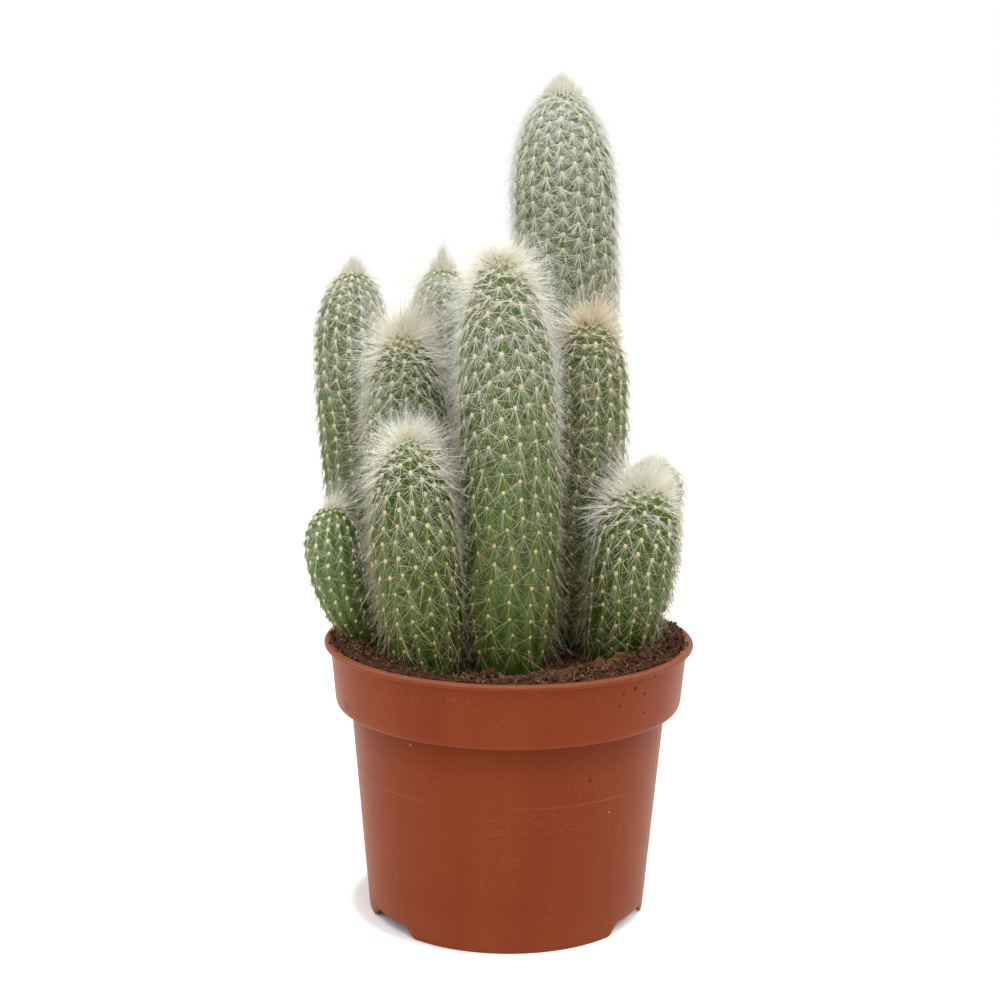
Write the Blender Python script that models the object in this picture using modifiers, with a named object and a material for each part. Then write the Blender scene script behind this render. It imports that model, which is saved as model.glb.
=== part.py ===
"""Potted silver torch cactus: ten bristly columnar stems in peat, in a plastic nursery pot.

Metres, +Z up. The pot stands on z = 0 and its best side faces -Y. Every solid is modelled
about the pot's axis, and one empty then carries them all to their place.
"""

import math
import random
from collections import namedtuple

import bmesh
import bpy
from mathutils import Matrix, Vector, noise

MM = 0.001
GAP = 0.3 * MM  # left between pieces that touch
UP = Vector((0, 0, 1))

# The origin is under the middle of the whole plant, which leans out further on its left
# than on its right, so the pot's own axis stands a little to one side of it.
POT_AXIS = (4.9 * MM, -1.5 * MM, 0)

# Pot
LIP_RADIUS = 60 * MM
POT_HEIGHT = 90.2 * MM
LIP_OVERHANG = 1.9 * MM  # how far the lip stands out from the band below it
LIP_THICKNESS = 1.5 * MM
WALL = 1.2 * MM
EDGE = 0.5 * MM  # softened corners of the lip and of the band
BAND_BOTTOM = 69.2 * MM
BAND_DRAFT = 1.9 * MM  # how much narrower the band is at its lower edge
BODY_TOP_RADIUS = 51.4 * MM
FOOT_RADIUS = 45.4 * MM
FLOOR_HEIGHT = 6 * MM
POT_STEPS = 40
NOTCH_HEIGHT = 4.2 * MM
NOTCH_WIDTH = 20 * MM
NOTCH_DEPTH = 10 * MM
NOTCH_CORNER = 2.6 * MM
NOTCH_ANGLES = (-55, 62, 184)  # degrees from the front, positive to the right
DRAIN_COUNT = 6
DRAIN_RADIUS = 4.5 * MM
DRAIN_CIRCLE = 28 * MM
DRAIN_DEPTH = 6 * MM
DRAIN_SIDES = 12

# Soil
SOIL_TOP = 86.3 * MM
SOIL_LUMP = 1.0 * MM
SOIL_LUMP_SPACING = 9 * MM
SOIL_FRONT_RISE = 1.8 * MM
SOIL_STEPS = 32
SOIL_RINGS = 6
SOIL_SEED = 8

# Stems
SOIL_LINE = 87 * MM  # where a stem's neck meets the peat
BURIED = 18 * MM
BURIED_SHOULDER = 0.75  # share of the buried end above its rounding
BURIED_TAPER = 0.9
LOWEST_AREOLE = 3 * MM  # above the soil line
CROWN_CROWDING = 0.12  # a larger share spreads the crowding further down the stem
RIB_DEPTH = 2.0 * MM
SWELL_HEIGHT = 34 * MM
HOLE_CLEARANCE = 0.6 * MM
HOLE_SIDES = 20
HOLE_TOP = POT_HEIGHT + 5 * MM
NEEDLE_ROOT = 0.3 * MM
NEEDLE_LENGTHS = (5.0 * MM, 7.5 * MM)
NEEDLE_TILT = math.radians(24)
NEEDLE_TRIES = 12
NEEDLE_CLEARANCE = 0.35 * MM
NEEDLE_STUB = 0.4 * MM  # left where no needle fits
NEEDLE_ABOVE_LIP = 1.5 * MM
NEEDLE_SEED = 31
TUFT_DEPTH = 6 * MM  # needles this near the top all point up

# Millimetres: centre at the soil, half way up and at the top, then height of the top,
# widest radius, radius of the neck and length of the rounded crown
Stem = namedtuple("Stem", "name foot middle tip height radius neck crown ribs rows")
STEMS = [
    Stem("stem_tall", (20.8, 39.7), (19.4, 38), (15.9, 37), 265.5, 15.7, 8, 30, 12, 19),
    Stem("stem_front", (1.6, -15.5), (-0.2, -16), (-3.9, -16), 215, 14.6, 7.6, 46, 12, 14),
    Stem("stem_right", (21, 12.5), (25.8, 9), (25.8, 9), 193, 11.8, 6.5, 22, 10, 12),
    Stem("stem_left", (-40.6, 23.4), (-52, 28.5), (-53.2, 28), 207, 12.3, 6, 17, 10, 13),
    Stem("stem_middle_left", (-30.5, 5), (-32.4, 4.8), (-34.8, 4.8), 189, 13.2, 7, 36, 10, 11),
    Stem("stem_back", (-20, 32), (-22.2, 32), (-23.8, 32), 208, 11.7, 7, 25, 10, 12),
    Stem("stem_front_left", (-25.7, -19.2), (-29.3, -24), (-31.3, -25), 159, 13.2, 8.3, 37, 10, 9),
    Stem("stem_far_left", (-47.7, 1.8), (-56.4, -1), (-58.5, -2), 132.4, 10.1, 4.8, 16, 8, 6),
    Stem("stem_front_right", (35, -3), (39, -11.5), (41.6, -12.5), 141, 12.9, 8, 18, 10, 7),
    Stem("stem_back_right", (44.8, 17.7), (47.7, 20), (49.1, 20.5), 145.5, 10.4, 5.5, 16, 8, 7),
]


def clear_scene():
    for found in list(bpy.data.objects):
        bpy.data.objects.remove(found, do_unlink=True)


def make_collection(name):
    made = bpy.data.collections.new(name)
    bpy.context.scene.collection.children.link(made)
    return made


def make_material(name, colour, roughness):
    material = bpy.data.materials.new(name)
    material.use_nodes = True
    shader = material.node_tree.nodes["Principled BSDF"]
    shader.inputs["Base Color"].default_value = (*colour, 1)
    shader.inputs["Roughness"].default_value = roughness
    shader.inputs["Metallic"].default_value = 0
    return material


def make_object(name, bm, collection, material=None, location=(0, 0, 0)):
    mesh = bpy.data.meshes.new(name)
    bm.to_mesh(mesh)
    bm.free()
    if material:
        mesh.materials.append(material)
    made = bpy.data.objects.new(name, mesh)
    made.location = location
    collection.objects.link(made)
    return made


def turned(name, profile, steps, collection, material):
    """Solid of revolution about Z, from (radius, height) points."""
    bm = bmesh.new()
    points = [bm.verts.new((radius, 0, height)) for radius, height in profile]
    for first, second in zip(points, points[1:]):
        bm.edges.new((first, second))
    made = make_object(name, bm, collection, material)
    screw = made.modifiers.new("turn", "SCREW")
    screw.steps = steps
    screw.render_steps = steps
    screw.use_merge_vertices = True
    screw.merge_threshold = 0.00001
    return made


def add_drill(bm, radius, depth, sides, place):
    """Adds an upright cylinder to a cutter."""
    drill = bmesh.ops.create_cone(
        bm, cap_ends=True, segments=sides, radius1=radius, radius2=radius, depth=depth
    )
    bmesh.ops.translate(bm, verts=drill["verts"], vec=place)


def cut(target, cutter):
    cutter.hide_render = True
    cutter.display_type = "WIRE"
    boolean = target.modifiers.new("cut " + cutter.name, "BOOLEAN")
    boolean.operation = "DIFFERENCE"
    boolean.object = cutter


def band_radius(height):
    """Outside of the band, which narrows downwards from the lip."""
    share = (POT_HEIGHT - height) / (POT_HEIGHT - BAND_BOTTOM)
    return LIP_RADIUS - LIP_OVERHANG - BAND_DRAFT * share


def body_radius(height):
    """Outside of the tapered body below the band."""
    return FOOT_RADIUS + (BODY_TOP_RADIUS - FOOT_RADIUS) * height / BAND_BOTTOM


def inside_profile(top, inset):
    """Inside of the pot from its floor up to a height, drawn in by a distance."""
    floor_top = FLOOR_HEIGHT + WALL + inset
    step_low = BAND_BOTTOM - WALL / 2
    step_high = BAND_BOTTOM + 2 * WALL
    thickness = WALL + inset
    return [
        (0, floor_top),
        (body_radius(floor_top) - thickness, floor_top),
        (body_radius(step_low) - thickness, step_low + inset),
        (band_radius(step_high) - thickness, step_high + inset),
        (band_radius(top) - thickness, top),
    ]


def pot_profile():
    """Wall from the middle of the floor, up the inside, over the lip and down to the foot."""
    lip_under = POT_HEIGHT - LIP_THICKNESS
    inside = inside_profile(POT_HEIGHT - EDGE, 0)
    return inside + [
        (inside[-1][0] + EDGE, POT_HEIGHT),
        (LIP_RADIUS - EDGE, POT_HEIGHT),
        (LIP_RADIUS, POT_HEIGHT - EDGE),
        (LIP_RADIUS, lip_under + EDGE),
        (LIP_RADIUS - EDGE, lip_under),
        (band_radius(lip_under), lip_under),
        (band_radius(BAND_BOTTOM), BAND_BOTTOM + 2 * EDGE),
        (band_radius(BAND_BOTTOM) - EDGE, BAND_BOTTOM + EDGE / 2),
        (BODY_TOP_RADIUS + EDGE, BAND_BOTTOM),
        (BODY_TOP_RADIUS, BAND_BOTTOM - EDGE),
        (FOOT_RADIUS, 0),
        (FOOT_RADIUS - WALL, 0),
        (FOOT_RADIUS - WALL, FLOOR_HEIGHT),
        (0, FLOOR_HEIGHT),
    ]


def notch_cutter(collection):
    """Three round-cornered blocks that leave the foot ring standing on three feet."""
    bm = bmesh.new()
    for degrees in NOTCH_ANGLES:
        angle = math.radians(degrees)
        block = bmesh.ops.create_cube(bm, size=1)["verts"]
        bmesh.ops.scale(bm, verts=block, vec=(NOTCH_WIDTH, NOTCH_DEPTH, 2 * NOTCH_HEIGHT))
        edges = {edge for vert in block for edge in vert.link_edges}
        upper = [edge for edge in edges if all(vert.co.z > 0 for vert in edge.verts)]
        radial = [edge for edge in upper if edge.calc_length() < (NOTCH_WIDTH + NOTCH_DEPTH) / 2]
        rounded = bmesh.ops.bevel(
            bm, geom=radial, offset=NOTCH_CORNER, segments=3, profile=0.5, affect="EDGES"
        )
        block = {vert for vert in block if vert.is_valid} | set(rounded["verts"])
        bmesh.ops.translate(bm, verts=list(block), vec=(0, -FOOT_RADIUS, 0))
        bmesh.ops.rotate(bm, verts=list(block), matrix=Matrix.Rotation(angle, 3, UP))
    return make_object("cutter_notches", bm, collection)


def drain_cutter(collection):
    bm = bmesh.new()
    for index in range(DRAIN_COUNT):
        angle = math.tau * (index + 0.5) / DRAIN_COUNT
        place = (DRAIN_CIRCLE * math.sin(angle), DRAIN_CIRCLE * math.cos(angle), FLOOR_HEIGHT)
        add_drill(bm, DRAIN_RADIUS, DRAIN_DEPTH, DRAIN_SIDES, place)
    return make_object("cutter_drains", bm, collection)


def make_pot(parts, cutters):
    terracotta = make_material("terracotta plastic", (0.31, 0.055, 0.022), 0.42)
    pot = turned("pot", pot_profile(), POT_STEPS, parts, terracotta)
    cut(pot, notch_cutter(cutters))
    cut(pot, drain_cutter(cutters))
    return pot


def soil_height(x, y):
    """Lumpy top of the peat, a little higher at the front."""
    place = Vector((x, y, SOIL_SEED * MM)) / SOIL_LUMP_SPACING
    lumps = noise.fractal(place, 1.0, 2.0, 3)
    return SOIL_TOP + SOIL_LUMP * lumps - SOIL_FRONT_RISE * y / LIP_RADIUS


def soil_profile():
    """From the middle of the top, out to the wall and down it to the floor."""
    side = inside_profile(SOIL_TOP, GAP)[::-1]
    edge = side[0][0]
    top = [(edge * ring / SOIL_RINGS, SOIL_TOP) for ring in range(SOIL_RINGS)]
    return top + side


def hole_cutter(collection):
    """Plain round holes for the buried ends of the stems."""
    bm = bmesh.new()
    bottom = SOIL_LINE - BURIED - GAP
    for stem in STEMS:
        place = (stem.foot[0] * MM, stem.foot[1] * MM, (HOLE_TOP + bottom) / 2)
        add_drill(bm, stem.neck * MM + HOLE_CLEARANCE, HOLE_TOP - bottom, HOLE_SIDES, place)
    return make_object("cutter_holes", bm, collection)


def make_soil(parts, cutters):
    peat = make_material("peat", (0.036, 0.018, 0.010), 0.95)
    plain = turned("soil turned", soil_profile(), SOIL_STEPS, parts, peat)
    bpy.context.view_layer.update()
    depsgraph = bpy.context.evaluated_depsgraph_get()
    mesh = bpy.data.meshes.new_from_object(plain.evaluated_get(depsgraph))
    bpy.data.objects.remove(plain)
    for vert in mesh.vertices:
        if abs(vert.co.z - SOIL_TOP) < GAP:
            vert.co.z = soil_height(vert.co.x, vert.co.y)
    mesh.name = "soil"
    soil = bpy.data.objects.new("soil", mesh)
    parts.objects.link(soil)
    cut(soil, hole_cutter(cutters))
    return soil


def axis_point(stem, z):
    """Centre of the stem at height z, on a parabola through its foot, middle and top."""
    t = max((z - SOIL_LINE) / (stem.height * MM - SOIL_LINE), 0)
    foot, middle, tip = (Vector(point) * MM for point in (stem.foot, stem.middle, stem.tip))
    centre = foot * (2 * t - 1) * (t - 1) + middle * 4 * t * (1 - t) + tip * t * (2 * t - 1)
    return Vector((centre.x, centre.y, z))


def skin_radius(stem, z):
    """Neck at the soil, swelling to full width, closed by a rounded crown."""
    below_top = max(stem.height * MM - z, 0)
    above_soil = max(z - SOIL_LINE, 0)
    crown = math.sqrt(1 - max(0, 1 - below_top / (stem.crown * MM)) ** 2)
    swell = math.sin(math.pi / 2 * min(1, above_soil / SWELL_HEIGHT)) ** 0.8
    return (stem.neck + (stem.radius - stem.neck) * swell) * MM * crown


def areole_height(stem, row):
    """Height of a row of areoles: even down the stem, crowded at the crown."""
    length = stem.height * MM - SOIL_LINE - LOWEST_AREOLE
    share = row / stem.rows
    drop = length * (1 + CROWN_CROWDING) * share**2 / (share + CROWN_CROWDING)
    return stem.height * MM - drop


def shape_skin(stem, bm):
    """Turns a unit sphere into the ribbed stem and returns the vertices at its areoles."""
    areoles = []
    shoulder = SOIL_LINE - BURIED_SHOULDER * BURIED
    buried_rings = [(SOIL_LINE, 1), (shoulder, BURIED_TAPER), (SOIL_LINE - BURIED, 0)]
    for vert in bm.verts:
        column = round(math.atan2(vert.co.y, vert.co.x) / math.pi * stem.ribs) % (2 * stem.ribs)
        row = round(math.acos(max(-1, min(1, vert.co.z))) / math.pi * (stem.rows + 3))
        on_ridge = column % 2 == 0
        angle = math.pi * column / stem.ribs
        if row > stem.rows:
            z, share = buried_rings[row - stem.rows - 1]
            radius = stem.neck * MM * share
        elif row == 0:
            z = stem.height * MM
            radius = 0
        else:
            lift = 0.5 * (column // 2 % 2) if on_ridge else 0.25
            z = areole_height(stem, row - lift)
            fade = min(1, skin_radius(stem, z) / (stem.radius * MM)) ** 2
            relief = RIB_DEPTH / 2 * fade
            radius = skin_radius(stem, z) + (relief if on_ridge else -relief)
            if on_ridge:
                areoles.append(vert)
        centre = axis_point(stem, z)
        vert.co = centre + Vector((math.cos(angle), math.sin(angle), 0)) * radius
    return areoles


def skin_distance(stem, point):
    """Rough distance from a point to the skin of a stem."""
    top = stem.height * MM
    z = min(point.z, top - 0.25 * stem.crown * MM)
    across = point - axis_point(stem, z)
    return across.length - skin_radius(stem, z)


def needle_is_clear(stem, root, tip):
    """A needle stays on its own side of the space between stems, and above the lip."""
    if tip.z < POT_HEIGHT + NEEDLE_ABOVE_LIP:
        return False
    for point in (root.lerp(tip, 0.5), root.lerp(tip, 0.75), tip):
        own = skin_distance(stem, point)
        for other in STEMS:
            if other is not stem and skin_distance(other, point) < own + 2 * NEEDLE_CLEARANCE:
                return False
    return True


def needle_tip(stem, root, normal, rng):
    """Tip of a needle: out from the skin with a slight tilt, upright in the tuft."""
    upright = max(0, 1 - (stem.height * MM - root.z) / TUFT_DEPTH)
    outward = normal.lerp(UP, upright).normalized()
    for attempt in range(NEEDLE_TRIES):
        tilt = NEEDLE_TILT * (1 - 0.7 * upright)
        lean = Vector((rng.uniform(-1, 1), rng.uniform(-1, 1), rng.uniform(-1, 1))) * math.sin(tilt)
        shorter = 1 - attempt / (NEEDLE_TRIES + 2)
        length = rng.uniform(*NEEDLE_LENGTHS) * shorter
        tip = root + (outward + lean).normalized() * length
        if needle_is_clear(stem, root, tip):
            return tip
    return root + normal * NEEDLE_STUB


def raise_needles(stem, bm, areoles, rng):
    """Bevels each areole to a small face and draws its centre out to the needle's tip."""
    bevelled = bmesh.ops.bevel(
        bm, geom=areoles, offset=NEEDLE_ROOT, offset_type="OFFSET", segments=1, affect="VERTICES"
    )
    bm.normal_update()
    for face in bevelled["faces"]:
        root = face.calc_center_median()
        normal = face.normal.copy()
        centre = bmesh.ops.poke(bm, faces=[face])["verts"][0]
        centre.co = needle_tip(stem, root, normal, rng)


def make_stem(stem, parts, green, rng):
    bm = bmesh.new()
    bmesh.ops.create_uvsphere(bm, u_segments=2 * stem.ribs, v_segments=stem.rows + 3, radius=1)
    areoles = shape_skin(stem, bm)
    raise_needles(stem, bm, areoles, rng)
    foot = axis_point(stem, SOIL_LINE)
    bmesh.ops.translate(bm, verts=bm.verts, vec=-foot)
    bmesh.ops.triangulate(bm, faces=bm.faces)
    return make_object(stem.name, bm, parts, green, foot)


def stand_on_axis(parts, cutters):
    """Hangs every solid and cutter on one empty that stands on the pot's axis."""
    axis = bpy.data.objects.new("pot axis", None)
    axis.location = POT_AXIS
    for made in list(parts.objects) + list(cutters.objects):
        made.parent = axis
    parts.objects.link(axis)


def main():
    clear_scene()
    parts = make_collection("potted silver torch cactus")
    cutters = make_collection("cutters")
    rng = random.Random(NEEDLE_SEED)
    make_pot(parts, cutters)
    make_soil(parts, cutters)
    green = make_material("bristly green skin", (0.13, 0.19, 0.07), 0.6)
    for stem in STEMS:
        make_stem(stem, parts, green, rng)
    stand_on_axis(parts, cutters)


main()
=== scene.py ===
"""Looks of a potted silver torch cactus: ribbed skins, areoles, bristles, peat and a plastic pot.

Metres, +Z up. The plant is looked at from -Y, and everything is built about the pot's axis.
"""

import math
from collections import namedtuple
from functools import partial

import bmesh
import bpy
import numpy as np
from mathutils import Matrix, Vector, noise


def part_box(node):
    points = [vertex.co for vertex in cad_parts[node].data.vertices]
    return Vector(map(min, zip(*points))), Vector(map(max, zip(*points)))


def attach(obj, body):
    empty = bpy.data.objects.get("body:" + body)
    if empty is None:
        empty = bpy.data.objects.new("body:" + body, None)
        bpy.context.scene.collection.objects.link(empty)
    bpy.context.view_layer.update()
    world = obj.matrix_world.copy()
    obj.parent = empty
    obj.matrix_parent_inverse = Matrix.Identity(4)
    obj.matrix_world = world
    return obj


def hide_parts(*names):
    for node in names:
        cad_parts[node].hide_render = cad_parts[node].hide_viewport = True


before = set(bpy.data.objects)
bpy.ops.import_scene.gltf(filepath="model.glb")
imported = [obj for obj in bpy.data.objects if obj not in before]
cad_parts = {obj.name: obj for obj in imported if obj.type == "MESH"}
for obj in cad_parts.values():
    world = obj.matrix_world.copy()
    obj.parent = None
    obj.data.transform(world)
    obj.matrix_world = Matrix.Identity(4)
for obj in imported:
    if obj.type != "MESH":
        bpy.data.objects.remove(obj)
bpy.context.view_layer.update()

MM = 0.001
pot_low, pot_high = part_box("pot")
AXIS = Vector(((pot_low.x + pot_high.x) / 2, (pot_low.y + pot_high.y) / 2, 0))
POT_HEIGHT = pot_high.z
LIP_RADIUS = (pot_high.x - pot_low.x) / 2

# Stems, in millimetres: centre at the soil, half way up and at the top, height of the top,
# widest radius, radius of the neck and length of the rounded crown
Stem = namedtuple("Stem", "name foot middle tip height radius neck crown")
STEMS = [
    Stem("stem_tall", (20.8, 39.7), (18.9, 38), (15.4, 37), 266.4, 16.3, 8, 36),
    Stem("stem_front", (0.2, -17), (-0.4, -16), (-3.9, -16), 214.5, 14.8, 11, 46),
    Stem("stem_right", (21, 12.5), (25.4, 9), (25.3, 9), 193, 11.3, 7.5, 22),
    Stem("stem_left", (-40.6, 23.4), (-51.6, 28.5), (-52.6, 28), 207, 11.8, 6, 25),
    Stem("stem_middle_left", (-30.5, 5), (-32.4, 4.8), (-34.8, 4.8), 189, 13.2, 7, 36),
    Stem("stem_back", (-20, 32), (-22.2, 32), (-23.3, 32), 208.5, 11.3, 7, 27),
    Stem("stem_front_left", (-25.9, -19.6), (-29.3, -24), (-31.3, -25), 160, 13.2, 10.5, 37),
    Stem("stem_far_left", (-47.2, 1.8), (-55.6, -1), (-57.2, -2), 133.4, 9, 6, 16),
    Stem("stem_front_right", (35, -3.6), (39, -11.5), (41.6, -12.5), 143, 12.9, 10, 18),
    Stem("stem_back_right", (43, 17.7), (45.5, 20), (47.7, 20.5), 145.5, 10.5, 5.5, 11),
]
SOIL_LINE = 87 * MM
BURIED = 18 * MM
SWELL_HEIGHT = 28 * MM

# Ribs at the foot and at the crown, millimetres between the areoles of a rib, how far the ribs
# have turned at the front and twist on the way down (radians), smallest angle between a bristle
# and the outward direction (degrees), fewest and most bristles of an areole, their length and
# the painted shade of a stem that stands in the shade of others, which darkens its skin, wool and
# bristles and thickens its bristles; below zero it gives a fresher green instead
Coat = namedtuple("Coat", "low_ribs high_ribs spacing turn twist lie few many length dark")
COATS = {
    "stem_tall": Coat(19, 21, 5.5, 0, 0.05, 56, 36, 46, 6.8, 0),
    "stem_front": Coat(14, 20, 6.1, 0.06, 0.5, 34, 14, 26, 8.8, 0.2),
    "stem_right": Coat(15, 16, 5.5, 0.3, 0.1, 58, 14, 20, 7.4, 0.6),
    "stem_left": Coat(15, 17, 4.8, 0.1, 0, 66, 18, 22, 6, 0.1),
    "stem_middle_left": Coat(15, 17, 5.1, 0.5, 0.1, 32, 13, 20, 9.4, 0.7),
    "stem_back": Coat(15, 17, 4.9, 0.2, 0, 62, 18, 26, 6.2, 0.1),
    "stem_front_left": Coat(15, 18, 5.8, 0.4, 0.3, 38, 11, 16, 9.2, 1),
    "stem_far_left": Coat(13, 14, 5.2, 0.4, 0, 64, 8, 9, 5.8, -0.25),
    "stem_front_right": Coat(15, 17, 5.4, 0.9, 0, 40, 11, 14, 8.8, 1),
    "stem_back_right": Coat(13, 15, 4.8, 0.6, 0, 66, 14, 20, 5.2, 0.4),
}

# Crowns: how far down the skin bristles stand erect, how many there are to an areole and their
# length there, then the woolly tuft: height, radius and depth of the point that its bristles fan
# out from (millimetres), how pointed it is, how many roots, loosest angle (degrees), share of the
# shortest bristle's length and how golden
Crown = namedtuple("Crown", "zone young length height radius focus point roots loose least gold")
CROWNS = {
    "stem_tall": Crown(6, 38, 4.6, 7.4, 6.2, 30, 0.3, 220, 9, 0.5, 0.1),
    "stem_front": Crown(24, 30, 13, 5, 6.5, 6, -0.9, 32, 44, 0.3, 0.1),
    "stem_right": Crown(14, 25, 12.5, 18.5, 4.6, 7, 0.3, 46, 56, 0.2, 0.9),
    "stem_left": Crown(6, 14, 3.8, 8, 3.5, 30, 0.55, 90, 9, 0.5, 0.15),
    "stem_middle_left": Crown(20, 25, 14, 34, 5, 9, 0.25, 70, 42, 0.15, 0.12),
    "stem_back": Crown(6, 16, 4, 11.2, 4, 32, 0.65, 96, 8, 0.5, 0.15),
    "stem_front_left": Crown(20, 23, 12, 15.5, 4.4, 7, 0.3, 44, 54, 0.18, 0.08),
    "stem_far_left": Crown(5, 11, 8, 18, 3.2, 7, 0.3, 24, 56, 0.2, 0.05),
    "stem_front_right": Crown(18, 24, 14, 26, 4.8, 8, 0.1, 54, 52, 0.18, 0.1),
    "stem_back_right": Crown(6, 16, 4.4, 6, 4.5, 8, 0.3, 36, 36, 0.3, 0.1),
}

# Areoles: they crowd together towards the crown and a little towards the foot
FIRST_AREOLE = 1.5 * MM
LOWEST_AREOLE = 2 * MM
CROWDED_LENGTH = 5 * MM
FOOT_CROWDING = 0.15
FOOT_LENGTH = 40 * MM

# Ribs, and how far below the top the skin is fresh, areoles bear fewer bristles and wool is small
RIB_DEPTH = 0.5 * MM
LOBE_DEPTH = 0.35 * MM
NEW_RIB_LENGTH = 16 * MM
FRESH_LENGTH = 16 * MM
THIN_LENGTH = 15 * MM
SMALL_WOOL_LENGTH = 8 * MM
SKIN_COLUMNS = 96
SKIN_ROW = 1.8 * MM

# Bristles: largest angle from the outward direction (degrees) and width of the fan (radians), each
# for young and for old areoles, and share of the long central ones
YOUNG_LOOSEST, OLD_LOOSEST = 58, 86
YOUNG_FAN, OLD_FAN = 2.9, 2.5
CENTRAL_SHARE = 0.05
BRISTLE_THICKNESS = 0.108 * MM
BRISTLE_FOOT = 0.35 * MM
HAIR_THICKNESS = 0.085 * MM
HAIR_FOOT = 0.2 * MM
TUFT_BRISTLES = 12
WOOL_WIDTH = 1.4 * MM
WOOL_SHAPE = (1.0, 1.25, 0.55)

# Camera, worked out from the photographed pot
CAMERA_DISTANCE = 597.6 * MM
CAMERA_HEIGHT = 243.5 * MM
CAMERA_PITCH = 0.1788
CAMERA_YAW = 0.0055
CAMERA_ROLL = 0.01
LENS = 67.84


def linear(colour):
    """sRGB hex to linear RGBA."""
    channels = [int(colour[i : i + 2], 16) / 255 for i in (1, 3, 5)]
    return [c / 12.92 if c <= 0.04045 else ((c + 0.055) / 1.055) ** 2.4 for c in channels] + [1]


def fill(node, inputs):
    """Sets inputs of a node, each to a value or to the socket that feeds it."""
    for key, value in inputs.items():
        if isinstance(value, bpy.types.NodeSocket):
            node.id_data.links.new(value, node.inputs[key])
        else:
            node.inputs[key].default_value = value


def add_node(tree, kind, inputs=(), out=0, stops=(), **settings):
    """Adds a node with its settings, fills its inputs, by name or in their order, and returns one
    of its outputs. The stops of a colour ramp are pairs of a position and a hex colour."""
    node = tree.nodes.new(kind)
    for name, value in settings.items():
        setattr(node, name, value)
    for index, (position, colour) in enumerate(stops):
        if index >= len(node.color_ramp.elements):
            node.color_ramp.elements.new(position)
        node.color_ramp.elements[index].position = position
        node.color_ramp.elements[index].color = linear(colour)
    fill(node, inputs if isinstance(inputs, dict) else dict(enumerate(inputs)))
    return node.outputs[out]


def new_material(name):
    """A material, its Principled shader and the function that adds nodes to it."""
    material = bpy.data.materials.new(name)
    material.use_nodes = True
    tree = material.node_tree
    return material, tree.nodes["Principled BSDF"], partial(add_node, tree)


def new_mesh(name, points, faces=()):
    mesh = bpy.data.meshes.new(name)
    mesh.from_pydata(points.tolist(), [], faces)
    return mesh


def set_attribute(mesh, name, values):
    """Stores a number or a vector for each point."""
    values = np.asarray(values, dtype=np.float32)
    kind = "FLOAT_VECTOR" if values.ndim == 2 else "FLOAT"
    attribute = mesh.attributes.new(name, kind, "POINT")
    attribute.data.foreach_set("vector" if values.ndim == 2 else "value", values.ravel())


def point_mesh(name, places, **attributes):
    """Loose points with the numbers and directions that Geometry Nodes reads."""
    mesh = new_mesh(name, places)
    for key, values in attributes.items():
        set_attribute(mesh, key, values)
    return mesh


def mesh_object(name, mesh):
    made = bpy.data.objects.new(name, mesh)
    bpy.context.scene.collection.objects.link(made)
    return made


def finish_piece(piece, node):
    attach(piece, "root")
    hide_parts(node)


def smooth_step(x):
    x = np.clip(x, 0, 1)
    return x * x * (3 - 2 * x)


def ring_faces(count, columns):
    """Quads between rings of points that are listed from the top down."""
    first = np.arange(columns)
    after = (first + 1) % columns
    faces = []
    for i in range(count - 1):
        upper, lower = i * columns, (i + 1) * columns
        faces += np.c_[upper + first, lower + first, lower + after, upper + after].tolist()
    return faces


# Shape of the stems


def centre_line(stem, z):
    """Centre of the stem at each height, on a parabola through its foot, middle and top."""
    t = np.maximum((z - SOIL_LINE) / (stem.height * MM - SOIL_LINE), 0)[..., None]
    foot, middle, tip = (np.array(point) * MM for point in (stem.foot, stem.middle, stem.tip))
    across = foot * (2 * t - 1) * (t - 1) + middle * 4 * t * (1 - t) + tip * t * (2 * t - 1)
    return across + np.array(AXIS)[:2]


def skin_radius(stem, z):
    """Neck at the soil, swelling to full width, closed by a rounded crown."""
    below_top = np.maximum(stem.height * MM - z, 0)
    above_soil = np.maximum(z - SOIL_LINE, 0)
    crown = np.sqrt(1 - np.maximum(0, 1 - below_top / (stem.crown * MM)) ** 2)
    swell = np.sin(math.pi / 2 * np.minimum(1, above_soil / SWELL_HEIGHT)) ** 0.8
    return (stem.neck + (stem.radius - stem.neck) * swell) * MM * crown


def row_numbers(stem):
    """Heights down the skin, distance along the skin to each and number of its areole row."""
    top = stem.height * MM
    spacing = COATS[stem.name].spacing * MM
    z = top - (top - SOIL_LINE) * np.linspace(0, 1, 1600) ** 2
    step = np.hypot(np.diff(skin_radius(stem, z)), np.diff(z))
    along = np.r_[0, np.cumsum(step)]
    foot = smooth_step((along - along[-1] + FOOT_LENGTH) / FOOT_LENGTH)
    gap = spacing * along / (along + CROWDED_LENGTH) * (1 - FOOT_CROWDING * foot)
    rate = np.where(along > FIRST_AREOLE, 1 / np.maximum(gap, 0.1 * MM), 1)
    rows = np.r_[0, np.cumsum(step * (rate[1:] + rate[:-1]) / 2)]
    return z, along, rows


def rib_edges(stem, z):
    """Edges of the ribs round the stem, as turns from 0 to 1, and how grown each rib is."""
    coat = COATS[stem.name]
    rng = np.random.default_rng(int(stem.height) + 7)
    extra = coat.high_ribs - coat.low_ribs
    born = np.full(coat.high_ribs, -1.0)
    late = ((np.arange(extra) + rng.uniform(0.2, 0.8, extra)) * coat.high_ribs / extra).astype(int)
    length = stem.height * MM - SOIL_LINE
    born[late] = SOIL_LINE + length * rng.uniform(0.08, 0.65, extra)
    grown = smooth_step((z[None, :] - born[:, None]) / NEW_RIB_LENGTH)
    grown[born < 0] = 1
    edges = np.cumsum(np.vstack([np.zeros(len(z)), grown]), axis=0)
    return edges / edges[-1], grown


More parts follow.
